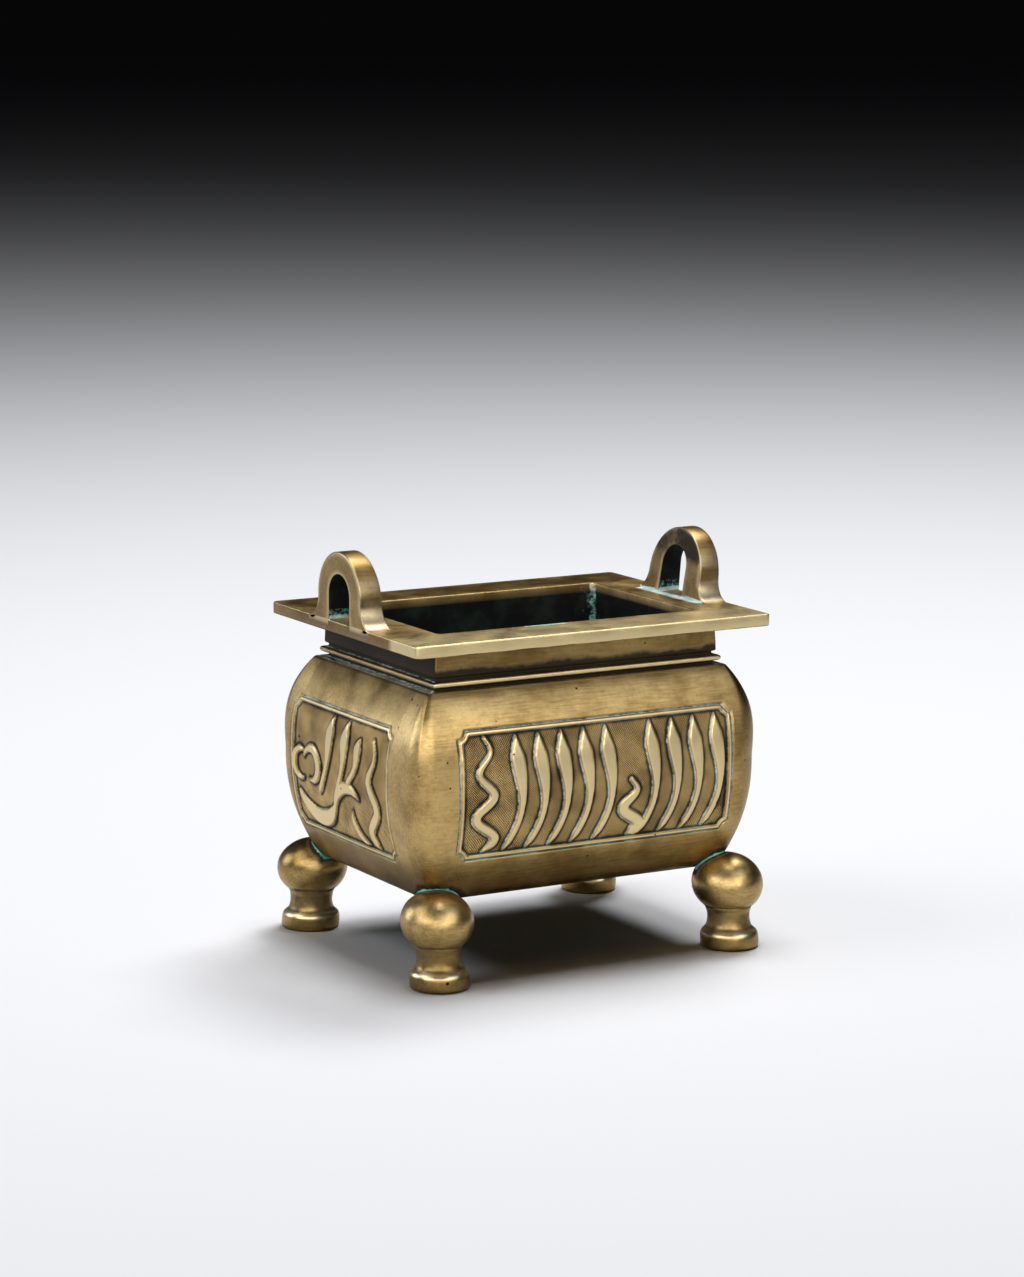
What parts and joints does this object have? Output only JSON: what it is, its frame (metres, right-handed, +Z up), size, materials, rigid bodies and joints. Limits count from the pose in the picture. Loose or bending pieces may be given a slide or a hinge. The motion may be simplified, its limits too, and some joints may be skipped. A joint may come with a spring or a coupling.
{
  "type": "bronze incense burner",
  "caption": "Rectangular cast bronze censer with a flat rim, arched upright handles, swelling belly with carved panels, and ball feet.",
  "frame": {"origin": "on the surface that the feet stand on, under the middle of the vessel", "axes": "+Z up, +X along the long side of the rim, -Y towards the front, the long side with the winding strokes"},
  "size_m": [0.1618, 0.1348, 0.1629],
  "materials": {
    "aged_bronze": "hand-polished golden bronze with dark and pale green patina in the grooves and the sunk grounds",
    "foot_bronze": "polished golden bronze, worn bright on the balls and dark at the waist"
  },
  "bodies": {
    "root": {"vessel": "aged_bronze", "foot_front_left": "foot_bronze", "foot_front_right": "foot_bronze", "foot_back_left": "foot_bronze", "foot_back_right": "foot_bronze"}
  },
  "joints": []
}
